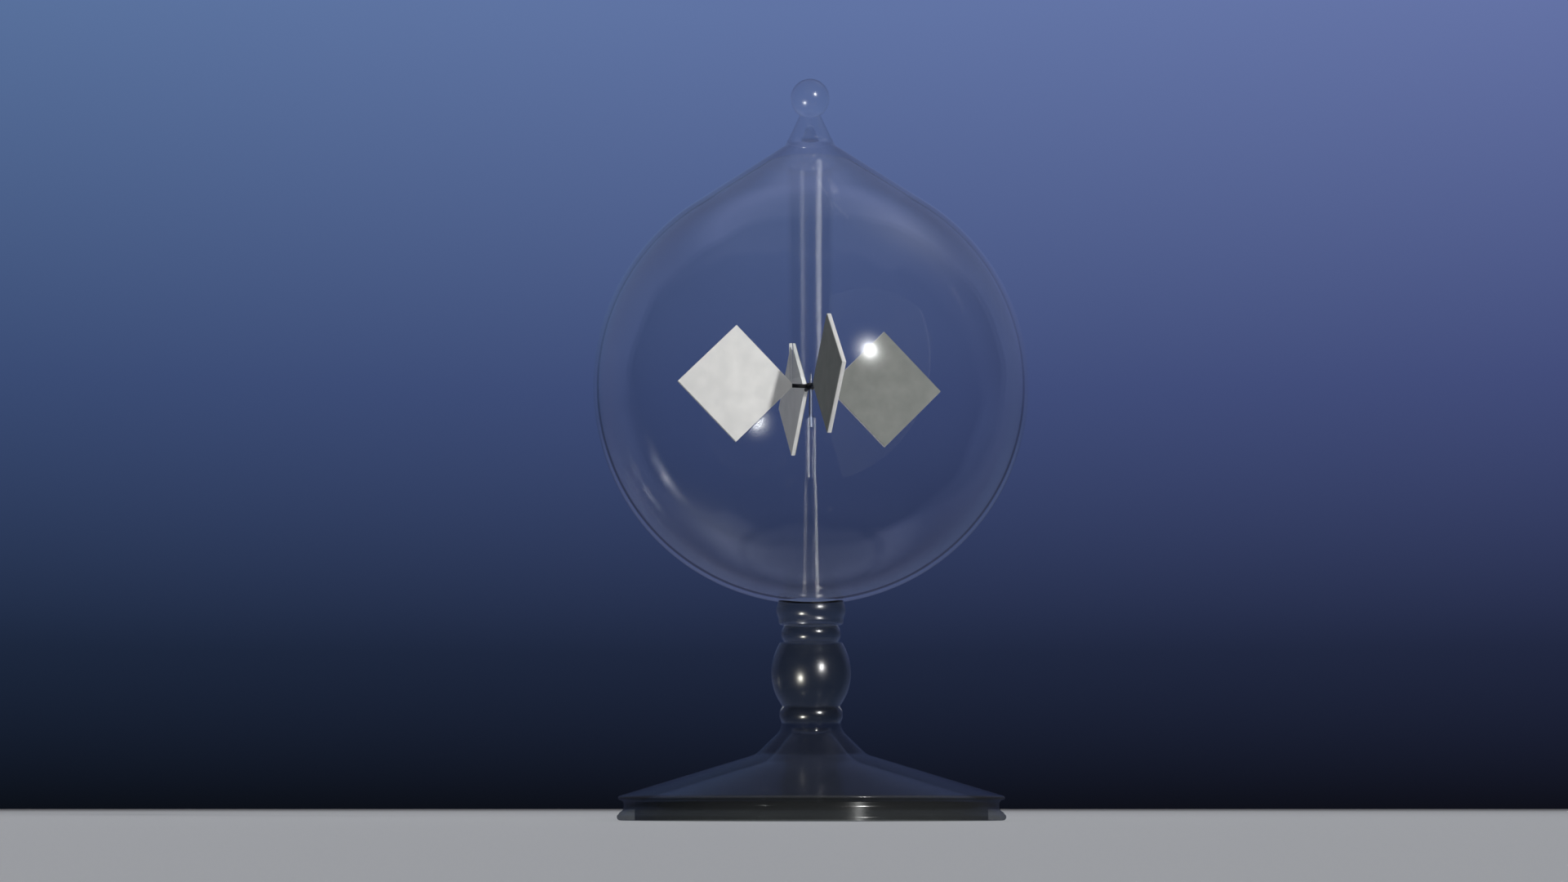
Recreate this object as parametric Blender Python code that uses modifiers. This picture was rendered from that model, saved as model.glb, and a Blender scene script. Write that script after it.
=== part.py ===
"""Radiometer (light mill): a glass bulb on a glass stem, with a four-vane rotor on a needle.

Lengths are in metres and +Z is up. The origin is the centre of the foot's underside, and
every turned piece stands on the Z axis, which is also the axis that the rotor turns about.
Slopes are in degrees from vertical, and profiles are lists of (radius, height) points.
"""
import math

import bmesh
import bpy

MM = 0.001

# Bulb and neck
BULB_RADIUS = 40.0 * MM
BULB_WALL = 1.0 * MM
BULB_CENTRE_Z = 78.9 * MM
SHOULDER_SLOPE = 54.6
TIP_SLOPE = 24.4
NECK_CURVE = 4.4 * MM
TIP_TOP_RADIUS = 1.95 * MM
TIP_TOP_Z = 130.65 * MM
BALL_RADIUS = 3.65 * MM
BALL_CENTRE_Z = 134.0 * MM
NECK_INNER_CURVE = 3.0 * MM
VOID_DOME_RADIUS = 0.8 * MM
VOID_SLOPE = 19.0
VOID_FLOOR_Z = 125.7 * MM
VOID_HEIGHT = 3.05 * MM
CEILING_Z = 121.05 * MM
PLUG_RADIUS = 4.4 * MM

# Guard tube
TUBE_TOP_RADIUS = 4.35 * MM
TUBE_END_RADIUS = 3.88 * MM
TUBE_WALL = 0.6 * MM
TUBE_END_Z = 80.2 * MM

# Turned pieces of the stem, from the foot up to the bulb
FOOT_TOP_Z = 17.3 * MM
LOWER_RING_TOP_Z = 20.3 * MM
KNOP_TOP_Z = 31.75 * MM
UPPER_RING_TOP_Z = 35.0 * MM
FOOT_TOP_RADIUS = 5.4 * MM
LOWER_RING_RADIUS = 5.7 * MM
KNOP_RADIUS = 7.2 * MM
KNOP_WIDEST_Z = 26.4 * MM
KNOP_CURVE = 10.2 * MM
LOWER_RING_END_RADIUS = 5.2 * MM
UPPER_RING_RADIUS = 5.4 * MM
WAIST_RADIUS = 4.6 * MM
COLLAR_RADIUS = 6.3 * MM
COLLAR_LIP_RADIUS = 5.9 * MM
COLLAR_BEAD_BOTTOM_Z = 36.2 * MM
COLLAR_CURVE = 0.6 * MM

# Foot
FOOT_KNEE_RADIUS = 10.0 * MM
FOOT_KNEE_Z = 11.7 * MM
TRUMPET_SLOPE = 46.0
TRUMPET_CURVE = 2.7 * MM
KNEE_CURVE = 3.0 * MM
FOOT_WALL = 1.8 * MM
RIM_RADIUS = 34.8 * MM
LOWER_LIP = 0.6 * MM
LOWER_LIP_START = 60.0
UPPER_LIP = 0.4 * MM
UPPER_LIP_Z = 3.95 * MM
UPPER_LIP_START = 70.0
UPPER_LIP_END = -60.0
GROOVE_FLOOR = 33.55 * MM
GROOVE_CURVE = 1.3 * MM
HALF_GROOVE = 66.0
STANDING_RING = 3.2 * MM
HOLLOW_TOP_Z = 16.4 * MM
HOLLOW_CURVE = 1.2 * MM
CROWN_SAG = 1.0 * MM

# Support of the rotor
STEM_FOOT_RADIUS = 1.6 * MM
STEM_TOP_RADIUS = 1.2 * MM
STEM_TOP_Z = 60.4 * MM
ROD_RADIUS = 1.03 * MM
ROD_START_Z = 61.9 * MM
ROD_TOP_Z = 73.4 * MM
ROD_TOP_CURVE = 0.5 * MM
NEEDLE_RADIUS = 0.32 * MM
NEEDLE_SET_DEPTH = 2.0 * MM
NEEDLE_TAPER_Z = 78.55 * MM
NEEDLE_TIP_Z = 81.45 * MM
NEEDLE_TIP_RADIUS = 0.03 * MM

# Rotor
ARM_Z = 79.0 * MM
ARM_RADIUS = 0.375 * MM
HUB_RADIUS = 0.72 * MM
HUB_HEIGHT = 1.1 * MM
CUP_BORE = 0.38 * MM
CUP_WALL = 0.14 * MM
CUP_MOUTH_Z = 78.35 * MM
CUP_TAPER_Z = 80.75 * MM
CUP_TOP_Z = 82.0 * MM
VANE_SIDE = 15.35 * MM
VANE_CENTRE_RADIUS = 14.05 * MM
VANE_THICKNESS = 0.7 * MM
VANE_CORNER_CUT = 0.4 * MM
COAT_THICKNESS = 0.1 * MM
COAT_MARGIN = 0.03 * MM
ARM_COUNT = 4
FIRST_ARM_AZIMUTH = 12.9

# Gaps: between fused pieces, between the rotor's bonded pieces, and over the needle's point
JOINT_GAP = 0.05 * MM
BOND_GAP = 0.02 * MM
PIVOT_PLAY = 0.05 * MM

# Fineness: facets round the axis, and how far a chord may stray from its arc
LARGE_STEPS = 40
STEM_STEPS = 28
PIVOT_STEPS = 16
ARM_SEGMENTS = 12
CHORD_ERROR = 0.08 * MM
WIDEST_CHORD = 24.0
SHARP_ANGLE = math.radians(40.0)
MERGE_DISTANCE = 0.001 * MM


def clear_scene():
    """Remove every object, so that the model starts from an empty scene."""
    for thing in list(bpy.data.objects):
        bpy.data.objects.remove(thing)


def make_material(name, colour, roughness, metallic=0.0, transmission=0.0):
    material = bpy.data.materials.new(name)
    material.use_nodes = True
    shader = material.node_tree.nodes["Principled BSDF"]
    shader.inputs["Base Color"].default_value = (*colour, 1.0)
    shader.inputs["Roughness"].default_value = roughness
    shader.inputs["Metallic"].default_value = metallic
    shader.inputs["Transmission Weight"].default_value = transmission
    return material


def make_glass(piece_name):
    return make_material(piece_name + "_glass", (0.93, 0.96, 0.98), 0.02, transmission=1.0)


def link_piece(name, data, material, parent=None):
    """Put new data into the scene as one named piece of the radiometer."""
    piece = bpy.data.objects.new(name, data)
    data.materials.append(material)
    bpy.data.collections["radiometer"].objects.link(piece)
    piece.parent = parent
    return piece


def slope_tan(slope):
    return math.tan(math.radians(slope))


def arc(centre, radius, start, end):
    """Points on an arc, with its angles in degrees from +r towards +z."""
    chord = math.degrees(2.0 * math.acos(max(0.0, 1.0 - CHORD_ERROR / radius)))
    count = math.ceil(abs(end - start) / min(chord, WIDEST_CHORD))
    points = []
    for step in range(count + 1):
        angle = math.radians(start + (end - start) * step / count)
        points.append((centre[0] + radius * math.cos(angle), centre[1] + radius * math.sin(angle)))
    return points


def hollow_curve(corner, upper_slope, lower_slope, radius):
    """Points down a hollow curve that rounds the corner between two slopes."""
    upper = math.radians(upper_slope)
    reach = radius * slope_tan((lower_slope - upper_slope) / 2.0)
    centre = (
        corner[0] - reach * math.sin(upper) + radius * math.cos(upper),
        corner[1] + reach * math.cos(upper) + radius * math.sin(upper),
    )
    return arc(centre, radius, 180.0 + upper_slope, 180.0 + lower_slope)


def inner_corner(corner, upper_slope, lower_slope, wall):
    """The corner of a wall's inner side, from the corner of its outer side."""
    middle = math.radians((upper_slope + lower_slope) / 2.0)
    distance = wall / math.cos(math.radians((lower_slope - upper_slope) / 2.0))
    return corner[0] - distance * math.cos(middle), corner[1] - distance * math.sin(middle)


def barrel(end_radius, widest_radius, top_z, bottom_z):
    """Points down a barrel's side: one arc, widest at the middle of its height."""
    half = (top_z - bottom_z) / 2.0
    swell = widest_radius - end_radius
    radius = (half * half + swell * swell) / (2.0 * swell)
    half_angle = math.degrees(math.asin(half / radius))
    centre = (widest_radius - radius, (top_z + bottom_z) / 2.0)
    return arc(centre, radius, half_angle, -half_angle)


def turn(name, material, profile, steps, ring=False, parent=None):
    """Turn a profile, which runs down the piece's outside, into a smooth solid.

    A ring's profile is closed on itself; any other begins and ends on the axis.
    """
    last = len(profile) - 1
    edges = [(point, point + 1) for point in range(last)]
    if ring:
        edges.append((last, 0))
    outline = bpy.data.meshes.new(name)
    outline.from_pydata([(r, 0.0, z) for r, z in profile], edges, [])
    piece = link_piece(name, outline, material, parent)
    screw = piece.modifiers.new("Turned", "SCREW")
    screw.steps = steps
    screw.render_steps = steps
    screw.use_merge_vertices = True
    screw.merge_threshold = MERGE_DISTANCE
    bpy.context.view_layer.update()
    turned = piece.evaluated_get(bpy.context.evaluated_depsgraph_get())
    solid = bpy.data.meshes.new_from_object(turned)
    piece.modifiers.clear()
    piece.data = solid
    solid.shade_smooth()
    solid.set_sharp_from_angle(angle=SHARP_ANGLE)
    return piece


def tip_radius(z):
    """Outer radius of the tapered tip at a height."""
    return TIP_TOP_RADIUS + (TIP_TOP_Z - z) * slope_tan(TIP_SLOPE)


def neck_curve():
    """Points down the hollow curve between the tapered tip and the bulb's shoulder."""
    touch_r = BULB_RADIUS * math.cos(math.radians(SHOULDER_SLOPE))
    touch_z = BULB_CENTRE_Z + BULB_RADIUS * math.sin(math.radians(SHOULDER_SLOPE))
    shoulder_reach = touch_r + touch_z * slope_tan(SHOULDER_SLOPE)
    tip_reach = TIP_TOP_RADIUS + TIP_TOP_Z * slope_tan(TIP_SLOPE)
    corner_z = (shoulder_reach - tip_reach) / (slope_tan(SHOULDER_SLOPE) - slope_tan(TIP_SLOPE))
    return hollow_curve((tip_radius(corner_z), corner_z), TIP_SLOPE, SHOULDER_SLOPE, NECK_CURVE)


def neck_surface_z(r):
    """Height of the neck's hollow curve at a distance r from the axis."""
    curve = neck_curve()
    for upper, lower in zip(curve, curve[1:]):
        if upper[0] <= r <= lower[0]:
            share = (r - upper[0]) / (lower[0] - upper[0])
            return upper[1] + share * (lower[1] - upper[1])
    raise ValueError("the radius is not on the neck's curve")


def shoulder_inside():
    """Points up the bulb's inner side: parallel to the shoulder, then rounded into the flat ceiling."""
    slope = math.radians(SHOULDER_SLOPE)
    inner_radius = BULB_RADIUS - BULB_WALL
    rise = CEILING_Z - BULB_CENTRE_Z
    corner_radius = (inner_radius - rise * math.sin(slope)) / math.cos(slope)
    reach = NECK_INNER_CURVE * (1.0 - math.sin(slope)) / math.cos(slope)
    centre = (corner_radius - reach, CEILING_Z - NECK_INNER_CURVE)
    return arc(centre, NECK_INNER_CURVE, SHOULDER_SLOPE, 90.0)


def make_bulb():
    """Blown bulb: a ball with a straight shoulder, thick at the neck and open at both ends."""
    inner_radius = BULB_RADIUS - BULB_WALL
    neck_hole = PLUG_RADIUS + JOINT_GAP
    stem_hole = STEM_FOOT_RADIUS + JOINT_GAP
    outer_end = -math.degrees(math.acos(stem_hole / BULB_RADIUS))
    inner_start = -math.degrees(math.acos(stem_hole / inner_radius))
    centre = (0.0, BULB_CENTRE_Z)
    profile = [(neck_hole, neck_surface_z(neck_hole))]
    profile += [point for point in neck_curve() if point[0] > neck_hole + JOINT_GAP]
    profile += arc(centre, BULB_RADIUS, SHOULDER_SLOPE, outer_end)
    profile += arc(centre, inner_radius, inner_start, SHOULDER_SLOPE)
    profile += shoulder_inside()
    profile.append((neck_hole, CEILING_Z))
    turn("glass_bulb", make_glass("glass_bulb"), profile, LARGE_STEPS, ring=True)


def make_neck_plug():
    """Solid glass that closes the neck; its flat underside is the bulb's ceiling."""
    top_radius = tip_radius(VOID_FLOOR_Z)
    profile = [(0.0, VOID_FLOOR_Z), (top_radius, VOID_FLOOR_Z)]
    profile += [point for point in neck_curve() if top_radius < point[0] < PLUG_RADIUS - JOINT_GAP]
    profile.append((PLUG_RADIUS, neck_surface_z(PLUG_RADIUS)))
    profile.append((PLUG_RADIUS, CEILING_Z))
    profile.append((0.0, CEILING_Z))
    turn("neck_plug", make_glass("neck_plug"), profile, LARGE_STEPS)


def make_exhaust_tip():
    """Tapered seal-off tip, with a small void like a thimble in its underside."""
    base_z = VOID_FLOOR_Z + JOINT_GAP
    dome_z = base_z + VOID_HEIGHT - VOID_DOME_RADIUS
    dome = arc((0.0, dome_z), VOID_DOME_RADIUS, VOID_SLOPE, 90.0)
    mouth_radius = dome[0][0] + (dome[0][1] - base_z) * slope_tan(VOID_SLOPE)
    profile = [(0.0, TIP_TOP_Z), (TIP_TOP_RADIUS, TIP_TOP_Z), (tip_radius(base_z), base_z)]
    profile.append((mouth_radius, base_z))
    profile += dome
    turn("exhaust_tip", make_glass("exhaust_tip"), profile, STEM_STEPS)


def make_finial_ball():
    """Ball on the tip, with a small flat underneath where it is fused on."""
    flat_drop = BALL_CENTRE_Z - TIP_TOP_Z - JOINT_GAP
    flat_angle = -math.degrees(math.asin(flat_drop / BALL_RADIUS))
    profile = arc((0.0, BALL_CENTRE_Z), BALL_RADIUS, 90.0, flat_angle)
    profile.append((0.0, profile[-1][1]))
    turn("finial_ball", make_glass("finial_ball"), profile, STEM_STEPS)


def make_guard_tube():
    """Tube that hangs from the ceiling around the pivot and keeps the rotor on its needle."""
    top_z = CEILING_Z - JOINT_GAP
    profile = [
        (TUBE_TOP_RADIUS, top_z),
        (TUBE_END_RADIUS, TUBE_END_Z),
        (TUBE_END_RADIUS - TUBE_WALL, TUBE_END_Z),
        (TUBE_TOP_RADIUS - TUBE_WALL, top_z),
    ]
    turn("guard_tube", make_glass("guard_tube"), profile, STEM_STEPS, ring=True)


def make_collar():
    """Collar under the bulb; its dished top fits the ball, and its bottom draws in to a waist."""
    seat_radius = BULB_RADIUS + JOINT_GAP
    lip_angle = -math.degrees(math.acos(COLLAR_LIP_RADIUS / seat_radius))
    bottom_z = UPPER_RING_TOP_Z + JOINT_GAP
    dish = arc((0.0, BULB_CENTRE_Z), seat_radius, -90.0, lip_angle)
    profile = dish[:-1]
    profile += barrel(COLLAR_LIP_RADIUS, COLLAR_RADIUS, dish[-1][1], COLLAR_BEAD_BOTTOM_Z)
    waist_z = bottom_z + COLLAR_CURVE
    profile += arc((COLLAR_LIP_RADIUS - COLLAR_CURVE, waist_z), COLLAR_CURVE, 0.0, -90.0)
    profile += [(WAIST_RADIUS, bottom_z), (0.0, bottom_z)]
    turn("bulb_collar", make_glass("bulb_collar"), profile, STEM_STEPS)


def make_ring(name, end_radius, widest_radius, top_z, bottom_z):
    """Solid glass bead of the stem, a short barrel."""
    profile = [(0.0, top_z)]
    profile += barrel(end_radius, widest_radius, top_z, bottom_z)
    profile.append((0.0, bottom_z))
    turn(name, make_glass(name), profile, STEM_STEPS)


def make_knop():
    """Egg-shaped knop, longer below its widest level than above it."""
    bottom_z = LOWER_RING_TOP_Z + JOINT_GAP
    top_angle = math.degrees(math.asin((KNOP_TOP_Z - KNOP_WIDEST_Z) / KNOP_CURVE))
    bottom_angle = math.degrees(math.asin((bottom_z - KNOP_WIDEST_Z) / KNOP_CURVE))
    profile = [(0.0, KNOP_TOP_Z)]
    profile += arc((KNOP_RADIUS - KNOP_CURVE, KNOP_WIDEST_Z), KNOP_CURVE, top_angle, bottom_angle)
    profile.append((0.0, bottom_z))
    turn("knop", make_glass("knop"), profile, STEM_STEPS)


def rim_outline():
    """Points down the foot's rim: a thin lip, a groove and a fuller lip that meets the ground."""
    groove_z = (UPPER_LIP_Z + 2.0 * LOWER_LIP) / 2.0
    groove_centre = (GROOVE_FLOOR + GROOVE_CURVE, groove_z)
    points = arc((RIM_RADIUS - LOWER_LIP, UPPER_LIP_Z), UPPER_LIP, UPPER_LIP_START, UPPER_LIP_END)
    points += arc(groove_centre, GROOVE_CURVE, 180.0 - HALF_GROOVE, 180.0 + HALF_GROOVE)
    points += arc((RIM_RADIUS - LOWER_LIP, LOWER_LIP), LOWER_LIP, LOWER_LIP_START, -90.0)
    return points


def make_foot():
    """Hollow foot: a steep trumpet over a flat cone, a grooved rim and a ring to stand on."""
    rim = rim_outline()
    knee = (FOOT_KNEE_RADIUS, FOOT_KNEE_Z)
    cone_slope = math.degrees(math.atan2(rim[0][0] - knee[0], knee[1] - rim[0][1]))
    throat = (FOOT_TOP_RADIUS, knee[1] + (knee[0] - FOOT_TOP_RADIUS) / slope_tan(TRUMPET_SLOPE))
    outer = [(0.0, FOOT_TOP_Z)]
    outer += hollow_curve(throat, 0.0, TRUMPET_SLOPE, TRUMPET_CURVE)
    outer += hollow_curve(knee, TRUMPET_SLOPE, cone_slope, KNEE_CURVE)
    outer += rim
    inner_throat = inner_corner(throat, 0.0, TRUMPET_SLOPE, FOOT_WALL)
    inner_knee = inner_corner(knee, TRUMPET_SLOPE, cone_slope, FOOT_WALL)
    ring_radius = RIM_RADIUS - STANDING_RING
    ring_top = inner_knee[1] - (ring_radius - inner_knee[0]) / slope_tan(cone_slope)
    hollow = hollow_curve(inner_throat, 0.0, TRUMPET_SLOPE, HOLLOW_CURVE)
    hollow += [inner_knee, (ring_radius, ring_top), (ring_radius, 0.0)]
    crown = arc((0.0, HOLLOW_TOP_Z), inner_throat[0], 0.0, -90.0)
    squash = CROWN_SAG / inner_throat[0]
    crown = [(r, HOLLOW_TOP_Z + (z - HOLLOW_TOP_Z) * squash) for r, z in crown]
    turn("foot", make_glass("foot"), outer + hollow[::-1] + crown, LARGE_STEPS)


def make_support_stem():
    """Thick stem that stands in the bulb's lower hole, with a cone at its top."""
    foot_z = BULB_CENTRE_Z - math.sqrt(BULB_RADIUS**2 - STEM_FOOT_RADIUS**2) + JOINT_GAP
    profile = [
        (0.0, ROD_START_Z - JOINT_GAP),
        (ROD_RADIUS, ROD_START_Z - JOINT_GAP),
        (STEM_TOP_RADIUS, STEM_TOP_Z),
        (STEM_FOOT_RADIUS, foot_z),
        (0.0, foot_z),
    ]
    turn("support_stem", make_glass("support_stem"), profile, STEM_STEPS)


def make_support_rod():
    """Thin rod on the stem; the needle is set into the socket in its rounded top."""
    socket_radius = NEEDLE_RADIUS + BOND_GAP
    socket_floor = ROD_TOP_Z - NEEDLE_SET_DEPTH
    profile = [(0.0, socket_floor), (socket_radius, socket_floor), (socket_radius, ROD_TOP_Z)]
    profile += arc((ROD_RADIUS - ROD_TOP_CURVE, ROD_TOP_Z - ROD_TOP_CURVE), ROD_TOP_CURVE, 90.0, 0.0)
    profile += [(ROD_RADIUS, ROD_START_Z), (0.0, ROD_START_Z)]
    turn("support_rod", make_glass("support_rod"), profile, STEM_STEPS)


def make_pivot_needle():
    """Needle with a long tapered point that carries the rotor."""
    base_z = ROD_TOP_Z - NEEDLE_SET_DEPTH + BOND_GAP
    profile = [
        (0.0, NEEDLE_TIP_Z),
        (NEEDLE_TIP_RADIUS, NEEDLE_TIP_Z),
        (NEEDLE_RADIUS, NEEDLE_TAPER_Z),
        (NEEDLE_RADIUS, base_z),
        (0.0, base_z),
    ]
    steel = make_material("needle_steel", (0.62, 0.63, 0.65), 0.22, metallic=1.0)
    turn("pivot_needle", steel, profile, PIVOT_STEPS)


def make_pivot_cup(rotor):
    """Inverted glass cup that hangs on the needle's point above the arms."""
    roof_z = NEEDLE_TIP_Z + PIVOT_PLAY - ARM_Z
    cup_radius = CUP_BORE + CUP_WALL
    mouth_z = CUP_MOUTH_Z - ARM_Z
    taper_z = CUP_TAPER_Z - ARM_Z
    top_z = CUP_TOP_Z - ARM_Z
    profile = arc((0.0, top_z - cup_radius), cup_radius, 90.0, 0.0)
    profile += [(cup_radius, mouth_z), (CUP_BORE, mouth_z), (CUP_BORE, taper_z), (0.0, roof_z)]
    turn("pivot_cup", make_glass("pivot_cup"), profile, PIVOT_STEPS, parent=rotor)


def make_hub(rotor):
    """Metal collar on the cup that the arms are fixed to."""
    bore = CUP_BORE + CUP_WALL + BOND_GAP
    half = HUB_HEIGHT / 2.0
    profile = [(HUB_RADIUS, half), (HUB_RADIUS, -half), (bore, -half), (bore, half)]
    metal = make_material("hub_metal", (0.05, 0.05, 0.055), 0.45, metallic=0.8)
    turn("hub", metal, profile, PIVOT_STEPS, ring=True, parent=rotor)


def make_arm(rotor, number, azimuth):
    """Straight wire from the hub to the cut corner of its vane."""
    inner = HUB_RADIUS + BOND_GAP
    outer = VANE_CENTRE_RADIUS - VANE_SIDE / math.sqrt(2.0) + VANE_CORNER_CUT - BOND_GAP
    wire = bmesh.new()
    bmesh.ops.create_cone(
        wire,
        cap_ends=True,
        segments=ARM_SEGMENTS,
        radius1=ARM_RADIUS,
        radius2=ARM_RADIUS,
        depth=outer - inner,
    )
    mesh = bpy.data.meshes.new(f"arm_{number}")
    wire.to_mesh(mesh)
    wire.free()
    mesh.shade_smooth()
    mesh.set_sharp_from_angle(angle=SHARP_ANGLE)
    metal = make_material(f"arm_{number}_metal", (0.05, 0.05, 0.055), 0.45, metallic=0.8)
    arm = link_piece(f"arm_{number}", mesh, metal, rotor)
    middle = (inner + outer) / 2.0
    arm.location = (middle * math.cos(azimuth), middle * math.sin(azimuth), 0.0)
    arm.rotation_euler = (0.0, math.pi / 2.0, azimuth)


def make_plate(name, material, margin, thickness, offset, azimuth, rotor):
    """Square plate on its corner in the plane of the arm, moved sideways by an offset."""
    half = VANE_SIDE / math.sqrt(2.0) - margin * math.sqrt(2.0)
    inner = VANE_SIDE / math.sqrt(2.0) - VANE_CORNER_CUT - margin
    corners = [(half, 0.0), (0.0, half), (-inner, half - inner), (-inner, inner - half), (0.0, -half)]
    outline = bpy.data.curves.new(name, "CURVE")
    outline.dimensions = "2D"
    outline.fill_mode = "BOTH"
    outline.extrude = thickness / 2.0
    spline = outline.splines.new("POLY")
    spline.points.add(len(corners) - 1)
    for point, (x, y) in zip(spline.points, corners):
        point.co = (x, y, 0.0, 1.0)
    spline.use_cyclic_u = True
    plate = link_piece(name, outline, material, rotor)
    plate.location = (
        VANE_CENTRE_RADIUS * math.cos(azimuth) + offset * math.sin(azimuth),
        VANE_CENTRE_RADIUS * math.sin(azimuth) - offset * math.cos(azimuth),
        0.0,
    )
    plate.rotation_euler = (math.pi / 2.0, 0.0, azimuth)


def make_vane(rotor, number, azimuth):
    """White plate and the lampblack on the side that faces back along a left-hand turn."""
    total = VANE_THICKNESS + BOND_GAP + COAT_THICKNESS
    vane_offset = (VANE_THICKNESS - total) / 2.0
    coat_offset = (total - COAT_THICKNESS) / 2.0
    white = make_material(f"vane_{number}_white", (0.80, 0.80, 0.79), 0.55)
    black = make_material(f"lampblack_{number}", (0.20, 0.205, 0.20), 0.95)
    make_plate(f"vane_{number}", white, 0.0, VANE_THICKNESS, vane_offset, azimuth, rotor)
    make_plate(f"lampblack_{number}", black, COAT_MARGIN, COAT_THICKNESS, coat_offset, azimuth, rotor)


def make_stand():
    """Everything that stays still: foot, stem, bulb, neck and the rotor's support."""
    make_foot()
    lower_ring_z = FOOT_TOP_Z + JOINT_GAP
    make_ring("lower_ring", LOWER_RING_END_RADIUS, LOWER_RING_RADIUS, LOWER_RING_TOP_Z, lower_ring_z)
    make_knop()
    make_ring("upper_ring", WAIST_RADIUS, UPPER_RING_RADIUS, UPPER_RING_TOP_Z, KNOP_TOP_Z + JOINT_GAP)
    make_collar()
    make_bulb()
    make_neck_plug()
    make_exhaust_tip()
    make_finial_ball()
    make_guard_tube()
    make_support_stem()
    make_support_rod()
    make_pivot_needle()


def make_rotor():
    """Cup, hub, arms and vanes, which all turn about the needle."""
    rotor = bpy.data.objects.new("rotor_axis", None)
    bpy.data.collections["radiometer"].objects.link(rotor)
    rotor.location = (0.0, 0.0, ARM_Z)
    make_pivot_cup(rotor)
    make_hub(rotor)
    for index in range(ARM_COUNT):
        azimuth = math.radians(FIRST_ARM_AZIMUTH + index * 360.0 / ARM_COUNT)
        make_arm(rotor, index + 1, azimuth)
        make_vane(rotor, index + 1, azimuth)


clear_scene()
bpy.context.scene.collection.children.link(bpy.data.collections.new("radiometer"))
make_stand()
make_rotor()
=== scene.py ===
"""Looks of the radiometer: fine turned glass, coated vanes and a plain set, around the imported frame.

Every turned piece takes its outline from its CAD node, with the chords rounded back into curves.
Outlines are lists of (radius, height). Lengths are in metres and +Z is up.
"""
import math

import bmesh
import bpy
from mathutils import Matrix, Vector


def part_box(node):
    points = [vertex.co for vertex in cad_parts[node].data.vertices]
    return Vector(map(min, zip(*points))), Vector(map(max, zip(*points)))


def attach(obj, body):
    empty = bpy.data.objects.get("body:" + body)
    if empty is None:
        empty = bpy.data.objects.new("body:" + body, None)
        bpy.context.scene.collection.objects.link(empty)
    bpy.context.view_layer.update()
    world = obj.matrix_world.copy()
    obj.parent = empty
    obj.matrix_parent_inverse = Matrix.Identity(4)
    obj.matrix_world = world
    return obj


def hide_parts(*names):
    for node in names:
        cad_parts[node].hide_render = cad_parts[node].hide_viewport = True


MM = 0.001

# Outlines
GRID = 1e7                          # points are matched on a grid of this many steps a metre
TINY = 1.0 / GRID
CREASE = math.radians(50.0)         # a corner that turns more than this stays a corner
FINE_TURN = math.radians(4.0)       # how far a curve may turn from one ring to the next
LONGEST_STEP = 1.6 * MM             # the longest stretch of a curve between two rings
STRAIGHT = math.radians(0.6)        # a stretch that bends less than this is a straight line
TOUCH = 0.16 * MM                   # pieces nearer than this are fused there
OFF_AXIS = 0.001 * MM               # a probe for a neighbour stays this far off the axis
LOPSIDED = 2.2                      # a stretch this many times its neighbour sets the direction alone
NEAREST_CUT = 0.02 * MM             # a stretch isn't split nearer to its ends than this
RISE = 0.05 * MM                    # a stretch that rises by more than this faces the axis
SOFT_EDGE = 0.14 * MM               # how much a free corner of glass is melted round
EASED_EDGE = 0.06 * MM              # and of the needle, the hub and the cup
CORNER_SHARE = 0.42                 # but never more than this share of a stretch beside it
ROUND_COUNT = 5                     # stretches in a rounded corner

# Numbers of facets round an axis
LARGE_ROUND = 160
STEM_ROUND = 96
PIVOT_ROUND = 48
WIRE_ROUND = 32

# Edges that turn more than this are shaded sharp
SHARP_TURNED = math.radians(38.0)
SHARP_PLATE = math.radians(40.0)
SHARP_WIRE = math.radians(50.0)

# Blown glass is never quite true: the height of the bulb's waves, and for each wave its share, how many
# there are round the bulb, how they climb a metre of height, and where they start
WAVE_HEIGHT = 0.035 * MM
WAVES = ((0.45, 2.0, 60.0, 0.7), (0.3, 3.0, -110.0, 2.1), (0.25, 5.0, 150.0, 4.0))

# Plates and arms of the rotor
VANE_BEVEL = 0.03 * MM
COAT_BEVEL = 0.015 * MM
BEVEL_STEPS = 3
WELD = 0.001 * MM
FLAT = math.radians(1.0)            # plate faces that differ by less than this are one face
ARM_OVERLAP = 0.03 * MM             # how far an arm's wire reaches into the hub
ARM_STEPS = 16
BEAD_HEIGHT = 0.12 * MM
BEAD_LENGTH = 0.28 * MM

# Glass: its bending index, its tint, the roughness of its highlights and their weight
GLASS_LOOKS = {
    "bulb": (1.01, (0.985, 0.99, 0.99), (0.015, 0.04), 1.0),
    "foot": (1.0, (0.93, 0.92, 0.88), (0.12, 0.18), 0.28),
    "tube": (1.005, (0.93, 0.935, 0.94), (0.12, 0.15), 0.18),
    "bore": (1.005, (0.93, 0.935, 0.94), (0.12, 0.15), 0.03),
    "stem": (1.01, (0.93, 0.93, 0.92), (0.12, 0.15), 0.18),
    "tip": (1.01, (0.985, 0.99, 0.99), (0.22, 0.28), 0.8),
    # The walls of the tip's pocket are tinted darker than the rest of the tip: painted shade that makes
    # the trapped pocket read as a dark dome.
    "pocket": (1.01, (0.80, 0.83, 0.88), (0.22, 0.28), 0.8),
    # The solid turned glass is tinted dark: painted shade standing in for the dark reflections layered
    # in it.
    "turned": (1.015, (0.80, 0.77, 0.62), (0.2, 0.28), 1.0),
}
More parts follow.
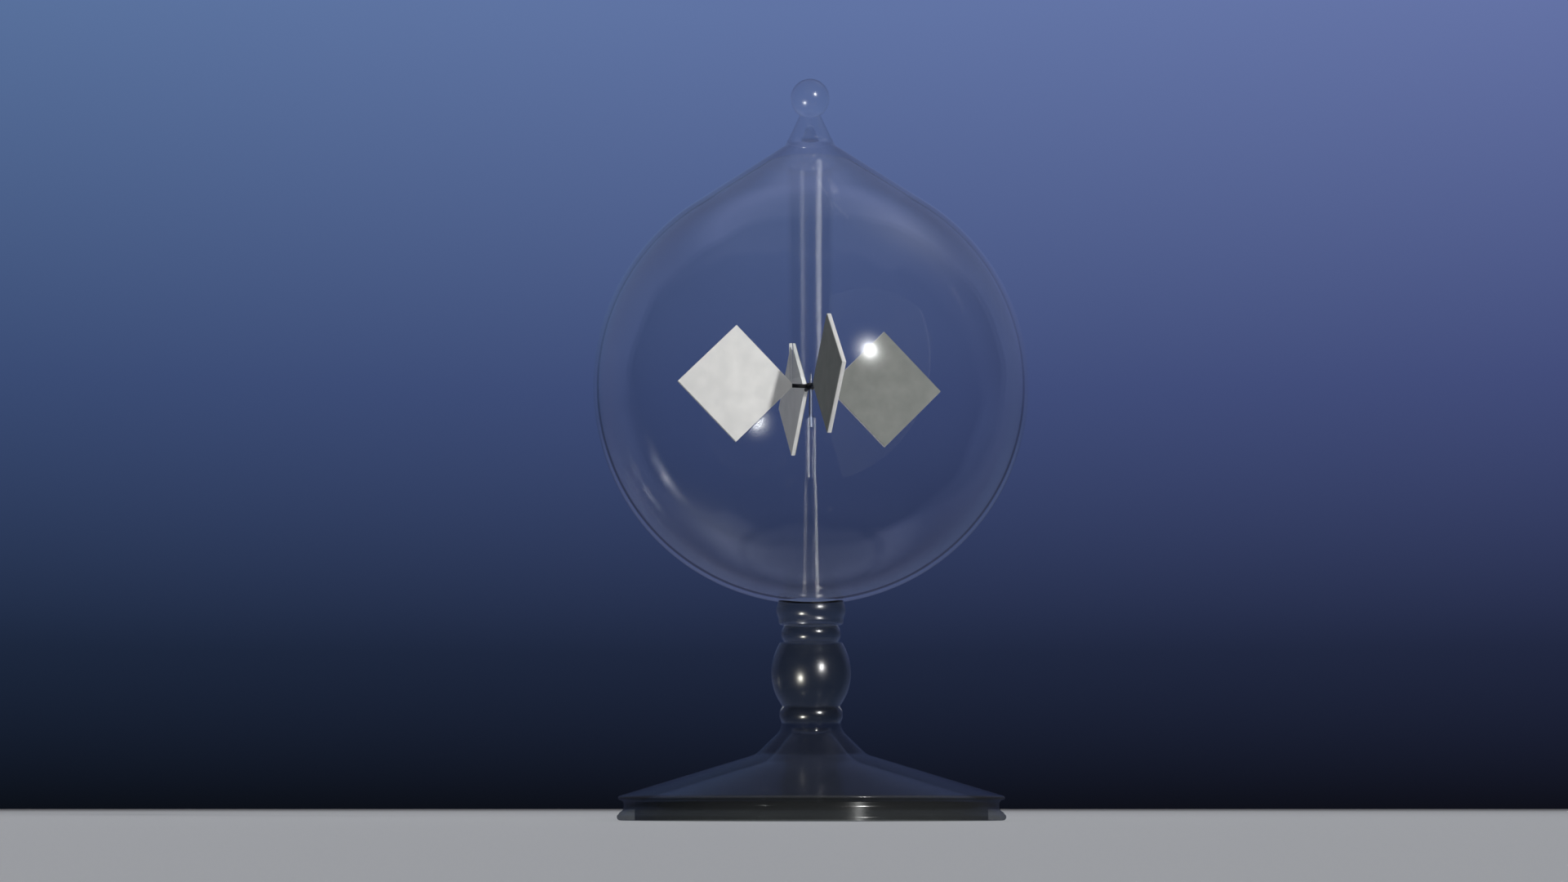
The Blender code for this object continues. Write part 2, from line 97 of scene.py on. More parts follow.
GLASS_KINDS = {
    "foot": "foot",
    # The collar, the rings and the knop take the turned glass, with its painted shade.
    "lower_ring": "turned",
    "knop": "turned",
    "upper_ring": "turned",
    "bulb_collar": "turned",
    "glass_bulb": "bulb",
    "neck_plug": "tip",
    "exhaust_tip": "tip",
    "finial_ball": "tip",
    "guard_tube": "tube",
    "support_stem": "stem",
    "support_rod": "stem",
}
# The pocket's glass is darkened: painted shade inside the trapped pocket of the tip.
INNER_KINDS = {"exhaust_tip": "pocket", "guard_tube": "bore"}  # glass of the walls that face the axis
STRAIGHT_KINDS = ("tube", "bore", "stem")
STRAIGHT_DRAW = 0.06                # how strongly drawing marks show on straight glass
FREE_DRAW = 0.25                    # and on glass that is blown or turned
FAR_SHARE = 0.09                    # the far side of straight glass mirrors less than its near side
COAT_INDEX = 1.5                    # highlights are as strong as those of real glass
CLOUD_TINT = 0.985                  # a faint cloudiness darkens the tint to this share
DRAW_HEIGHT = 0.08 * MM             # drawing marks
RIM_TINT = (0.19, 0.20, 0.20)       # thick glass seen through its edge
RIM_CLEAR = 0.93                    # the rest of the rim's light is scattered by its ground edge
RIM_FADE = 0.5 * MM
RIM_SHARE = 0.965                   # the rim is where the foot is wider than this share of its width
SHINE_THROUGH = (0.95, 0.955, 0.95)  # how much of a lamp's light each glass face lets through

# Colours of the plates, their coats, the wire and the needle: two each, blended by noise
VANE_COLOURS = ((0.82, 0.81, 0.80), (0.74, 0.735, 0.73))
LAMPBLACK_COLOURS = ((0.225, 0.235, 0.225), (0.285, 0.295, 0.28))
DARK_METAL_COLOURS = ((0.022, 0.023, 0.026), (0.09, 0.088, 0.085))
STEEL_COLOURS = ((0.17, 0.19, 0.27), (0.13, 0.15, 0.22))
NOISE_RANGE = (0.3, 0.7)            # most of a noise lies between these
NOISE_MIDDLE = 0.5

# Camera: the photograph's viewing angle
CAMERA_LENS = 54.0
CAMERA_DISTANCE = 0.427
CAMERA_SIDE = -0.0049
CAMERA_HEIGHT = 0.0021
CAMERA_PITCH = math.radians(8.88)
SENSOR_WIDTH = 36.0
CLIP_NEAR = 0.01
CLIP_FAR = 50.0

# Key lamp, seen from the object
KEY_AZIMUTH = math.radians(30.0)
KEY_ELEVATION = math.radians(9.7)
KEY_SIZE = math.radians(2.4)
KEY_STRENGTH = 2.15
KEY_COLOUR = (1.0, 0.985, 0.97)
KEY_AWAY = 0.5

# Tall panels that draw the long highlights on the straight glass: azimuth, width, power and pieces
PANELS = (
    (math.radians(47.0), 0.24, 12.5, ("guard_tube_glass",)),
    (math.radians(-28.0), 0.28, 0.5, ("guard_tube_glass",)),
    (math.radians(98.0), 0.80, 72.0, ("support_stem_glass", "support_rod_glass")),
    (math.radians(-44.0), 0.50, 50.0, ("support_rod_glass",)),
    (math.radians(-88.0), 0.50, 2.6, ("support_stem_glass",)),
)
PANEL_LENGTH = 0.34
PANEL_AWAY = 0.6
PANEL_UP = 0.19

# Soft glows of the room, seen only in reflections: azimuth, elevation, width and strength
GLOWS = (
    (KEY_AZIMUTH, KEY_ELEVATION, math.radians(2.6), 25.0),
    (KEY_AZIMUTH, KEY_ELEVATION, math.radians(5.5), 9.0),
    (math.radians(110.0), math.radians(57.0), math.radians(15.0), 0.3),
)

# The room that the glass reflects: its colours by the sine of the elevation, and the shade in front
ROOM = (
    (-1.0, (0.12, 0.13, 0.18)),
    (-0.8, (0.11, 0.12, 0.17)),
    (-0.65, (0.05, 0.055, 0.10)),
    (0.0, (0.045, 0.055, 0.11)),
    (0.25, (0.10, 0.13, 0.26)),
    (0.5, (0.10, 0.125, 0.23)),
    (0.68, (0.08, 0.09, 0.155)),
    (0.76, (0.10, 0.12, 0.21)),
    (0.86, (0.23, 0.26, 0.44)),
    (1.0, (0.11, 0.12, 0.17)),
)
BEHIND = (0.75, 0.95)               # towards +Y the room fades into the backdrop itself
ABOVE = (0.02, 0.10)                # but only above the horizon
FRONT_SHADE = 0.85                  # how much dimmer the room is in front
FRONT_WIDENS = 0.55                 # the shade's edge bends back towards the sides
FRONT_LEANS = 0.16                  # and more on the right
FRONT_WAVES = 0.45                  # it waves
FRONT_WAVE_SCALE = 2.2
FRONT_SOFT = 0.012                  # and it is a little soft

# Backdrop colours, from the horizon up, each with its height as the sine of the elevation
BACKDROP = (
    (0.0, (0.004, 0.005, 0.009)),
    (0.065, (0.013, 0.020, 0.048)),
    (0.175, (0.047, 0.070, 0.178)),
    (0.33, (0.112, 0.165, 0.35)),
    (0.75, (0.16, 0.21, 0.38)),
)
BACKDROP_GAIN = 1.05
BACKDROP_LEAN = (0.42, 0.06, 0.20)  # how much the backdrop's red, green and blue rise towards +X
FILL_COLOUR = (0.026, 0.025, 0.030)  # the dim light from all round that matt surfaces get

OVERHEAD_POWER = 21.0
OVERHEAD_SIZE = 1.6
OVERHEAD_HEIGHT = 2.2
OVERHEAD_COLOUR = (0.95, 0.97, 1.0)

FLOOR_HALF = 8.0
FLOOR_DROP = 0.02 * MM
FLOOR_COLOUR = (0.66, 0.67, 0.69)
FLOOR_ROUGHNESS = 0.9
FLOOR_SHINE = 0.1

ARM_NUMBERS = (1, 2, 3, 4)

ANY_BOUNCE = 0.5                    # a ray whose depth is above this has bounced at least once

# Sockets of a Mix node that mixes colours
MIX_FACTOR = 0
MIX_FIRST = 6
MIX_SECOND = 7
MIX_RESULT = 2

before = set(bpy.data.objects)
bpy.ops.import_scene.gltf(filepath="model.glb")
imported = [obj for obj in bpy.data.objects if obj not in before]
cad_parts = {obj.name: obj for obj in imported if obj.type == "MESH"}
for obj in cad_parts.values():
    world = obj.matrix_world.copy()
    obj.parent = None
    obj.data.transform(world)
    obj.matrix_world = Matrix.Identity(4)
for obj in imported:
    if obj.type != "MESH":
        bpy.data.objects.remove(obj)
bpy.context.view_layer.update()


# --- Outlines of turned pieces ---------------------------------------------------------


def signed_area(points):
    """Area inside a closed outline, positive when it runs anticlockwise."""
    total = 0.0
    for (r0, z0), (r1, z1) in zip(points, points[1:] + points[:1]):
        total += r0 * z1 - r1 * z0
    return total / 2.0


def cad_outline(node):
    """Points (r, z) of a turned CAD node on its +X side, down the outside, and whether they close."""
    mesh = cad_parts[node].data
    places = {}
    links = {}
    for edge in mesh.edges:
        ends = [mesh.vertices[index].co for index in edge.vertices]
        if any(abs(end.y) > TINY or end.x < -TINY for end in ends):
            continue
        keys = [(round(end.x * GRID), round(end.z * GRID)) for end in ends]
        if keys[0] == keys[1]:
            continue
        for key, end in zip(keys, ends):
            places[key] = (max(0.0, end.x), end.z)
        links.setdefault(keys[0], set()).add(keys[1])
        links.setdefault(keys[1], set()).add(keys[0])
    loose = sorted(key for key in links if len(links[key]) == 1)
    closed = not loose
    start = loose[0] if loose else min(links)
    order = [start]
    step = sorted(links[start])[0]
    while step is not None and step != start:
        order.append(step)
        onward = [key for key in links[step] if key != order[-2]]
        step = onward[0] if onward else None
    points = [places[key] for key in order]
    if not closed:
        points = [(0.0, points[0][1])] * (points[0][0] > 0.0) + points
        points = points + [(0.0, points[-1][1])] * (points[-1][0] > 0.0)
    if signed_area(points) > 0.0:
        points.reverse()
    return points, closed


def unit(a, b):
    """Direction from a to b."""
    length = math.hypot(b[0] - a[0], b[1] - a[1])
    return (b[0] - a[0]) / length, (b[1] - a[1]) / length


def turn_between(u, v):
    """Angle between two directions."""
    return abs(math.atan2(u[0] * v[1] - u[1] * v[0], u[0] * v[0] + u[1] * v[1]))


def tangent(before, here, after):
    """Direction of a smooth outline at a point, from its two neighbours."""
    came = unit(before, here)
    goes = unit(here, after)
    came_length = math.dist(before, here)
    goes_length = math.dist(here, after)
    if came_length > LOPSIDED * goes_length:
        return came
    if goes_length > LOPSIDED * came_length:
        return goes
    mixed = (
        came[0] * goes_length + goes[0] * came_length,
        came[1] * goes_length + goes[1] * came_length,
    )
    return unit((0.0, 0.0), mixed)


def curve_between(a, b, leave, arrive):
    """Points from a up to, but without, b on a curve with the given directions at its ends."""
    chord = math.dist(a, b)
    bend = turn_between(leave, unit(a, b)) + turn_between(unit(a, b), arrive)
    if bend < STRAIGHT:
        return [a]
    count = max(math.ceil(bend / FINE_TURN), math.ceil(chord / LONGEST_STEP), 1)
    reach = chord / math.cos(bend / 4.0) ** 2
    points = []
    for index in range(count):
        t = index / count
        h_a = 2 * t**3 - 3 * t**2 + 1
        h_leave = t**3 - 2 * t**2 + t
        h_b = -2 * t**3 + 3 * t**2
        h_arrive = t**3 - t**2
        points.append(
            tuple(
                h_a * a[i] + h_leave * reach * leave[i] + h_b * b[i] + h_arrive * reach * arrive[i]
                for i in (0, 1)
            )
        )
    return points


def smooth_outline(points, closed):
    """Rounds the chords of a CAD outline back into curves. Corners stay sharp, and are returned too."""
    count = len(points)
    leaves = []
    arrives = []
    corners = set()
    for index, here in enumerate(points):
        inside = closed or 0 < index < count - 1
        before = points[index - 1]
        after = points[(index + 1) % count]
        if not inside:
            ahead = unit(here, after) if index == 0 else unit(before, here)
            flat = (math.copysign(1.0, ahead[0]), 0.0)
            ahead = flat if turn_between(ahead, flat) < CREASE / 2.0 else ahead
            leaves.append(ahead)
            arrives.append(ahead)
            continue
        came = unit(before, here)
        goes = unit(here, after)
        if turn_between(came, goes) > CREASE:
            corners.add(here)
            leaves.append(goes)
            arrives.append(came)
        else:
            smooth = tangent(before, here, after)
            leaves.append(smooth)
            arrives.append(smooth)
    fine = []
    last = count if closed else count - 1
    for index in range(last):
        onward = (index + 1) % count
        fine += curve_between(points[index], points[onward], leaves[index], arrives[onward])
    if not closed:
        fine.append(points[-1])
    return fine, corners


def inside_outline(outline, r, z):
    """Whether a point lies inside a closed outline."""
    inside = False
    for (r0, z0), (r1, z1) in zip(outline, outline[1:] + outline[:1]):
        if (z0 > z) != (z1 > z) and r < (r1 - r0) * (z - z0) / (z1 - z0) + r0:
            inside = not inside
    return inside


def split_at(outline, closed, marks):
    """Adds points to an outline where a neighbour's corner comes close to it."""
    result = []
    count = len(outline)
    last = count if closed else count - 1
    for index in range(last):
        a = outline[index]
        b = outline[(index + 1) % count]
        result.append(a)
        along = unit(a, b)
        length = math.dist(a, b)
        cuts = []
        for mark in marks:
            reach = (mark[0] - a[0]) * along[0] + (mark[1] - a[1]) * along[1]
            off = abs((mark[0] - a[0]) * along[1] - (mark[1] - a[1]) * along[0])
            if off < TOUCH and NEAREST_CUT < reach < length - NEAREST_CUT:
                cuts.append(reach)
        done = -1.0
        for reach in sorted(cuts):
            if reach - done > NEAREST_CUT:
                result.append((a[0] + along[0] * reach, a[1] + along[1] * reach))
                done = reach
    if not closed:
        result.append(outline[-1])
    return result


def fused_stretches(outline, closed, others):
    """For each stretch of an outline, whether a neighbour of the same glass lies against it."""
    flags = []
    count = len(outline)
    last = count if closed else count - 1
    for index in range(last):
        a = outline[index]
        b = outline[(index + 1) % count]
        along = unit(a, b)
        middle = ((a[0] + b[0]) / 2.0, (a[1] + b[1]) / 2.0)
        probe = (max(middle[0] - along[1] * TOUCH, OFF_AXIS), middle[1] + along[0] * TOUCH)
        flags.append(any(inside_outline(other, *probe) for other in others))
    return flags


def soften(outline, closed, flags, corners, amount):
    """Melts the free corners of an outline round; the ones at a fused joint stay."""
    points = []
    marks = []
    count = len(outline)
    for index, here in enumerate(outline):
        flag = flags[index] if index < len(flags) else False
        inside = closed or 0 < index < count - 1
        if not inside or here not in corners or flags[index - 1] or flag:
            points.append(here)
            marks.append(flag)
            continue
        before = outline[index - 1]
        after = outline[(index + 1) % count]
        shortest = min(math.dist(before, here), math.dist(here, after))
        cut = min(amount, CORNER_SHARE * shortest)
        came = unit(before, here)
        goes = unit(here, after)
        a = (here[0] - came[0] * cut, here[1] - came[1] * cut)
        b = (here[0] + goes[0] * cut, here[1] + goes[1] * cut)
        for step in range(ROUND_COUNT + 1):
            t = step / ROUND_COUNT
            points.append(
                tuple((1 - t) ** 2 * a[i] + 2 * t * (1 - t) * here[i] + t * t * b[i] for i in (0, 1))
            )
            marks.append(False)
        marks[-1] = flag
    return points, marks


def rising(outline, closed):
    """For each stretch of an outline, whether it faces the axis, as the wall of a pocket does."""
    onward = outline[1:] + outline[:1] * closed
    return [after[1] - here[1] > RISE for here, after in zip(outline, onward)]


def add_object(name, data):
    """A new object in the scene."""
    item = bpy.data.objects.new(name, data)
    bpy.context.scene.collection.objects.link(item)
    return item


def lathe(name, outline, closed, flags, around, materials, wave=0.0):
    """Turns an outline about the Z axis. The flag of a stretch is the number of its material."""
    shape = bmesh.new()
    rings = []
    for r, z in outline:
        if r < TINY:
            rings.append([shape.verts.new((0.0, 0.0, z))])
            continue
        ring = []
        for step in range(around):
            angle = 2.0 * math.pi * step / around
            swell = wave * blown_wave(angle, z) if wave else 0.0
            spot = ((r + swell) * math.cos(angle), (r + swell) * math.sin(angle), z)
            ring.append(shape.verts.new(spot))
        rings.append(ring)
    last = len(rings) if closed else len(rings) - 1
    for index in range(last):
        upper = rings[index]
        lower = rings[(index + 1) % len(rings)]
        if len(upper) == 1 and len(lower) == 1:
            continue
        for step in range(around):
            onward = (step + 1) % around
            corners = []
            for vert in (
                upper[step % len(upper)],
                lower[step % len(lower)],
                lower[onward % len(lower)],
                upper[onward % len(upper)],
            ):
                if vert not in corners:
                    corners.append(vert)
            face = shape.faces.new(corners)
            face.smooth = True
            face.material_index = int(flags[index])
    mesh = bpy.data.meshes.new(name)
    shape.normal_update()
    shape.to_mesh(mesh)
    shape.free()
    mesh.set_sharp_from_angle(angle=SHARP_TURNED)
    for material in materials:
        mesh.materials.append(material)
    return add_object(name, mesh)


def blown_wave(angle, z):
    """Slow unevenness of blown glass, between about -1 and 1."""
    return sum(
        share * math.sin(count * angle + climb * z + start) for share, count, climb, start in WAVES
    )


# --- Materials -------------------------------------------------------------------------


def new_material(name):
    """A material with an empty node tree, and the tree."""
    material = bpy.data.materials.new(name)
    material.use_nodes = True
    material.node_tree.nodes.clear()
    return material, material.node_tree


def add_node(tree, kind, **settings):
    """A new node with the given settings."""
    node = tree.nodes.new(kind)
    for name, value in settings.items():
        setattr(node, name, value)
    return node


def fill(tree, socket, value):
    """Links another node's output to an input, or sets the input to a number or a colour."""
    if isinstance(value, bpy.types.NodeSocket):
        tree.links.new(value, socket)
    elif socket.type == "RGBA":
        socket.default_value = (*value, 1.0)
    else:
        socket.default_value = value


def fill_all(tree, node, inputs):
    """Fills several inputs of a node, which are given by name or by number."""
    for name, value in inputs.items():
        fill(tree, node.inputs[name], value)


def noise(tree, scale, detail, roughness, stretch=None):
    """Noise in the object's frame: scale is in features a metre."""
    source = add_node(tree, "ShaderNodeTexCoord").outputs["Object"]
    if stretch:
        mapping = add_node(tree, "ShaderNodeMapping")
        fill_all(tree, mapping, {"Vector": source, "Scale": stretch})
        source = mapping.outputs["Vector"]
    texture = add_node(tree, "ShaderNodeTexNoise")
    inputs = {"Vector": source, "Scale": scale, "Detail": detail, "Roughness": roughness}
    fill_all(tree, texture, inputs)
    return texture.outputs["Fac"]


def spread(tree, source, low, high, out_low=0.0, out_high=1.0):
    """Maps a factor's range from low..high to out_low..out_high."""
    node = add_node(tree, "ShaderNodeMapRange")
    limits = {"From Min": low, "From Max": high, "To Min": out_low, "To Max": out_high}
    fill_all(tree, node, {"Value": source, **limits})
    return node.outputs["Result"]


def blend_colours(tree, factor, first, second):
    """The first colour where the factor is 0, and the second where it is 1."""
    node = add_node(tree, "ShaderNodeMix", data_type="RGBA")
    fill_all(tree, node, {MIX_FACTOR: factor, MIX_FIRST: first, MIX_SECOND: second})
    return node.outputs[MIX_RESULT]


def mix_shaders(tree, factor, first, second):
    """The first shader where the factor is 0, and the second where it is 1."""
    node = add_node(tree, "ShaderNodeMixShader")
    tree.links.new(factor, node.inputs[0])
    tree.links.new(first.outputs[0], node.inputs[1])
    tree.links.new(second.outputs[0], node.inputs[2])
    return node


def bump(tree, height, strength, distance):
    """A normal roughened by a height."""
    node = add_node(tree, "ShaderNodeBump")
    fill_all(tree, node, {"Height": height, "Strength": strength, "Distance": distance})
    return node.outputs["Normal"]


def finish(tree, shader):
    """Makes a shader the material's surface."""
    out = add_node(tree, "ShaderNodeOutputMaterial")
    tree.links.new(shader.outputs[0], out.inputs["Surface"])


def glass_coat_weight(tree, kind, weight):
    """Weight of the highlights: on straight glass, less for the far side seen through the near one."""
    if kind not in STRAIGHT_KINDS:
        return weight
    way = add_node(tree, "ShaderNodeNewGeometry")
    return spread(tree, way.outputs["Backfacing"], 0.0, 1.0, weight, weight * FAR_SHARE)


def glass_material(name, kind, rim_top=None):
    """Clear glass with a breath of tint, faint haze and drawing marks; lamps shine through it; the tint
    of the turned glass and of the pocket is darkened as painted shade.
    """
    bending, tint, gloss, weight = GLASS_LOOKS[kind]
    material, tree = new_material(name)
    cloudy = noise(tree, scale=55.0, detail=3.0, roughness=0.6)
    cloud = spread(tree, cloudy, low=0.35, high=0.7)
    colour = blend_colours(tree, cloud, tint, [share * CLOUD_TINT for share in tint])
    transmission = 1.0
    if rim_top:
        spot = add_node(tree, "ShaderNodeTexCoord")
        split = add_node(tree, "ShaderNodeSeparateXYZ")
        tree.links.new(spot.outputs["Object"], split.inputs[0])
        rim = spread(tree, split.outputs["Z"], rim_top - RIM_FADE, rim_top, 1.0, 0.0)
        colour = blend_colours(tree, rim, colour, RIM_TINT)
        transmission = spread(tree, rim, 0.0, 1.0, 1.0, RIM_CLEAR)
    haze = noise(tree, scale=130.0, detail=4.0, roughness=0.62)
    draw = noise(tree, scale=70.0, detail=1.5, roughness=0.4, stretch=(1.0, 1.0, 0.35))
    marks = STRAIGHT_DRAW if kind in STRAIGHT_KINDS else FREE_DRAW
    uneven = bump(tree, draw, marks, DRAW_HEIGHT)
    glass = add_node(tree, "ShaderNodeBsdfPrincipled")
    inputs = {
        "Base Color": colour,
        "IOR": bending,
        "Roughness": 0.0,
        "Transmission Weight": transmission,
        "Normal": uneven,
        "Coat Weight": glass_coat_weight(tree, kind, weight),
        "Coat IOR": COAT_INDEX,
        "Coat Roughness": spread(tree, haze, *NOISE_RANGE, *gloss),
        "Coat Normal": uneven,
    }
    fill_all(tree, glass, inputs)
    clear = add_node(tree, "ShaderNodeBsdfTransparent")
    fill(tree, clear.inputs["Color"], SHINE_THROUGH)
    path = add_node(tree, "ShaderNodeLightPath")
    finish(tree, mix_shaders(tree, path.outputs["Is Shadow Ray"], glass, clear))
    return material


def joint_material():
    """Where two pieces of glass are melted together, nothing is seen."""
    material, tree = new_material("fused_joint")
    finish(tree, add_node(tree, "ShaderNodeBsdfTransparent"))
    return material


def solid_material(name, build_inputs):
    """A material of one Principled node, whose inputs come from a function of its tree."""
    material, tree = new_material(name)
    shader = add_node(tree, "ShaderNodeBsdfPrincipled")
    fill_all(tree, shader, build_inputs(tree))
    finish(tree, shader)
    return material


def vane_inputs(tree):
    """Matte white plate: a faint mottle and a fine tooth."""
    mottle = noise(tree, scale=420.0, detail=4.0, roughness=0.6)
    tooth = noise(tree, scale=2600.0, detail=3.0, roughness=0.6)
    patches = spread(tree, mottle, *NOISE_RANGE)
    return {
        "Base Color": blend_colours(tree, patches, *VANE_COLOURS),
        "Roughness": spread(tree, mottle, *NOISE_RANGE, 0.5, 0.72),
        "Specular IOR Level": 0.35,
        "Normal": bump(tree, tooth, strength=0.35, distance=0.02 * MM),
    }


def lampblack_inputs(tree):
    """Dead matte soot-grey coat, a little uneven, with a granular surface."""
    cloud = noise(tree, scale=300.0, detail=5.0, roughness=0.65)
    grain = noise(tree, scale=4200.0, detail=4.0, roughness=0.7)
    patches = spread(tree, cloud, low=0.3, high=0.72)
    return {
        "Base Color": blend_colours(tree, patches, *LAMPBLACK_COLOURS),
        "Roughness": spread(tree, cloud, *NOISE_RANGE, 0.86, 1.0),
        "Specular IOR Level": 0.15,
        "Normal": bump(tree, grain, strength=0.6, distance=0.03 * MM),
    }


def dark_metal_inputs(tree):
    """Blackened wire with drawing marks and a little bare metal showing."""
    marks = noise(tree, scale=900.0, detail=4.0, roughness=0.6)
    bare = spread(tree, marks, low=0.45, high=0.75)
    return {
        "Base Color": blend_colours(tree, bare, *DARK_METAL_COLOURS),
        "Metallic": 0.7,
        "Roughness": spread(tree, marks, *NOISE_RANGE, 0.32, 0.55),
        "Normal": bump(tree, marks, strength=0.3, distance=0.01 * MM),
    }


def steel_inputs(tree):
    """Satin needle steel with fine rings from grinding."""
    rings = noise(tree, scale=500.0, detail=3.0, roughness=0.6, stretch=(0.2, 0.2, 8.0))
    bands = spread(tree, rings, *NOISE_RANGE)
    return {
        "Base Color": blend_colours(tree, bands, *STEEL_COLOURS),
        "Metallic": 0.6,
        "Roughness": spread(tree, rings, *NOISE_RANGE, 0.42, 0.55),
        "Normal": bump(tree, rings, strength=0.2, distance=0.006 * MM),
    }


# --- Pieces ----------------------------------------------------------------------------


def place(piece, body, node):
    """Puts a piece in the place of a CAD node, on its body."""
    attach(piece, body)
    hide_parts(node)


def build_stand_glass(joint):
    """All the glass of the stand, with the joints between its pieces melted away."""
    outlines = {}
    for node in (*GLASS_KINDS, "pivot_needle"):
        points, closed = cad_outline(node)
        fine, corners = smooth_outline(points, closed)
        outlines[node] = (fine, closed, corners)
    for node, kind in GLASS_KINDS.items():
        fine, closed, corners = outlines[node]
        marks = [corner for other in outlines if other != node for corner in outlines[other][2]]
        fine = split_at(fine, closed, marks)
        others = [outlines[other][0] for other in outlines if other != node]
        flags = fused_stretches(fine, closed, others)
        points, flags = soften(fine, closed, flags, corners, SOFT_EDGE)
        rim_top = None
        if node == "foot":
            widest = max(r for r, z in points)
            rim_top = max(z for r, z in points if r > RIM_SHARE * widest)
        glass = glass_material("clear_glass_" + node, kind, rim_top)
        around = LARGE_ROUND if node in ("glass_bulb", "foot") else STEM_ROUND
        wave = WAVE_HEIGHT if node == "glass_bulb" else 0.0
        materials = [glass, joint]
        # Walls that face the axis get their own glass; in the tip's pocket it is darker, which paints
        # shade into the trapped pocket.
        if node in INNER_KINDS:
            inner = INNER_KINDS[node]
            materials.append(glass_material("clear_glass_" + inner, inner))
            faces_axis = rising(points, closed)
            flags = [2 if rises and not flag else flag for flag, rises in zip(flags, faces_axis)]
        piece = lathe(node + "_glass", points, closed, flags, around, materials, wave)
        place(piece, "stand", node)


def build_turned(node, body, material):
    """A turned piece of one material that isn't fused to anything."""
    points, closed = cad_outline(node)
    fine, corners = smooth_outline(points, closed)
    flags = [False] * len(fine)
    points, flags = soften(fine, closed, flags, corners, EASED_EDGE)
    piece = lathe(node + "_turned", points, closed, flags, PIVOT_ROUND, (material,))
    place(piece, body, node)


def build_plate(node, material, bevel):
    """A flat plate of the rotor with its edges eased."""
    shape = bmesh.new()
    shape.from_mesh(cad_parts[node].data)
    bmesh.ops.remove_doubles(shape, verts=shape.verts, dist=WELD)
    bmesh.ops.dissolve_limit(shape, angle_limit=FLAT, verts=shape.verts, edges=shape.edges)
    bmesh.ops.bevel(
        shape,
        geom=list(shape.edges),
        offset=bevel,
        segments=BEVEL_STEPS,
        profile=0.5,
        affect="EDGES",
        clamp_overlap=True,
    )
    for face in shape.faces:
        face.smooth = True
    mesh = bpy.data.meshes.new(node + "_plate")
    shape.to_mesh(mesh)
    shape.free()
    mesh.set_sharp_from_angle(angle=SHARP_PLATE)
    mesh.materials.clear()
    mesh.materials.append(material)
    place(add_object(node + "_plate", mesh), "rotor", node)


def build_arm(number, material):
    """Drawn wire from the hub to the vane, with a small bead of solder at the hub."""
    node = f"arm_{number}"
    low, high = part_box(node)
    middle = (low + high) / 2.0
    outward = Vector((middle.x, middle.y, 0.0)).normalized()
    side = Vector((-outward.y, outward.x, 0.0))
    up = Vector((0.0, 0.0, 1.0))
    radius = (high.z - low.z) / 2.0
    hub_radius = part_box("hub")[1].x
    start = hub_radius - ARM_OVERLAP
    reach = math.hypot(middle.x, middle.y)
    end = reach + (reach - hub_radius)
    shape = bmesh.new()
    rings = []
    for station in range(ARM_STEPS + 1):
        share = station / ARM_STEPS
        near = share * (end - start)
        bead = BEAD_HEIGHT * math.exp(-((near / BEAD_LENGTH) ** 2)) if share < 0.5 else 0.0
        centre = outward * (start + near) + up * middle.z
        size = radius + bead
        ring = []
        for step in range(WIRE_ROUND):
            angle = 2.0 * math.pi * step / WIRE_ROUND
            beside = centre + side * (size * math.cos(angle))
            ring.append(shape.verts.new(beside + up * (size * math.sin(angle))))
        rings.append(ring)
    for inner, outer in zip(rings, rings[1:]):
        for step in range(WIRE_ROUND):
            onward = (step + 1) % WIRE_ROUND
            shape.faces.new((inner[step], inner[onward], outer[onward], outer[step]))
    shape.faces.new(rings[0][::-1])
    shape.faces.new(rings[-1])
    bmesh.ops.recalc_face_normals(shape, faces=shape.faces)
    for face in shape.faces:
        face.smooth = True
    mesh = bpy.data.meshes.new(node + "_wire")
    shape.to_mesh(mesh)
    shape.free()
    mesh.set_sharp_from_angle(angle=SHARP_WIRE)
    mesh.materials.append(material)
    place(add_object(node + "_wire", mesh), "rotor", node)


def build_rotor():
    """The cup, the hub, and the arms with their coated plates."""
    white = solid_material("white_vane", vane_inputs)
    black = solid_material("lampblack", lampblack_inputs)
    dark = solid_material("dark_metal", dark_metal_inputs)
    build_turned("hub", "rotor", dark)
    build_turned("pivot_cup", "rotor", glass_material("clear_glass_cup", "stem"))
    for number in ARM_NUMBERS:
        build_arm(number, dark)
        build_plate(f"vane_{number}", white, VANE_BEVEL)
        build_plate(f"lampblack_{number}", black, COAT_BEVEL)


# --- Set, light and camera -------------------------------------------------------------


def direction(azimuth, elevation):
    """A unit vector from the object, azimuth from -Y towards +X, so that 0 is towards the camera."""
    return Vector(
        (
            math.sin(azimuth) * math.cos(elevation),
            -math.cos(azimuth) * math.cos(elevation),
            math.sin(elevation),
        )
    )


def maths(tree, operation, *values):
    """The result of a Math node. Each value is a number or another node's output."""
    node = add_node(tree, "ShaderNodeMath", operation=operation)
    fill_all(tree, node, dict(enumerate(values)))
    return node.outputs[0]


def glow(tree, vector, towards, width):
    """A soft round patch of light in the surroundings: 1 in the middle, fading over width radians."""
    dot = add_node(tree, "ShaderNodeVectorMath", operation="DOT_PRODUCT")
    fill_all(tree, dot, {0: vector, 1: towards})
    away = maths(tree, "SUBTRACT", 1.0, dot.outputs["Value"])
    return maths(tree, "EXPONENT", maths(tree, "MULTIPLY", away, -2.0 / width**2))


def was_reflected(tree):
    """1 for a sharp ray that has been mirrored by glass or metal on its way, else 0."""
    path = add_node(tree, "ShaderNodeLightPath")
    mirrored = maths(tree, "GREATER_THAN", path.outputs["Glossy Depth"], ANY_BOUNCE)
    sharp = maths(tree, "LESS_THAN", path.outputs["Diffuse Depth"], ANY_BOUNCE)
    return maths(tree, "MULTIPLY", mirrored, sharp)


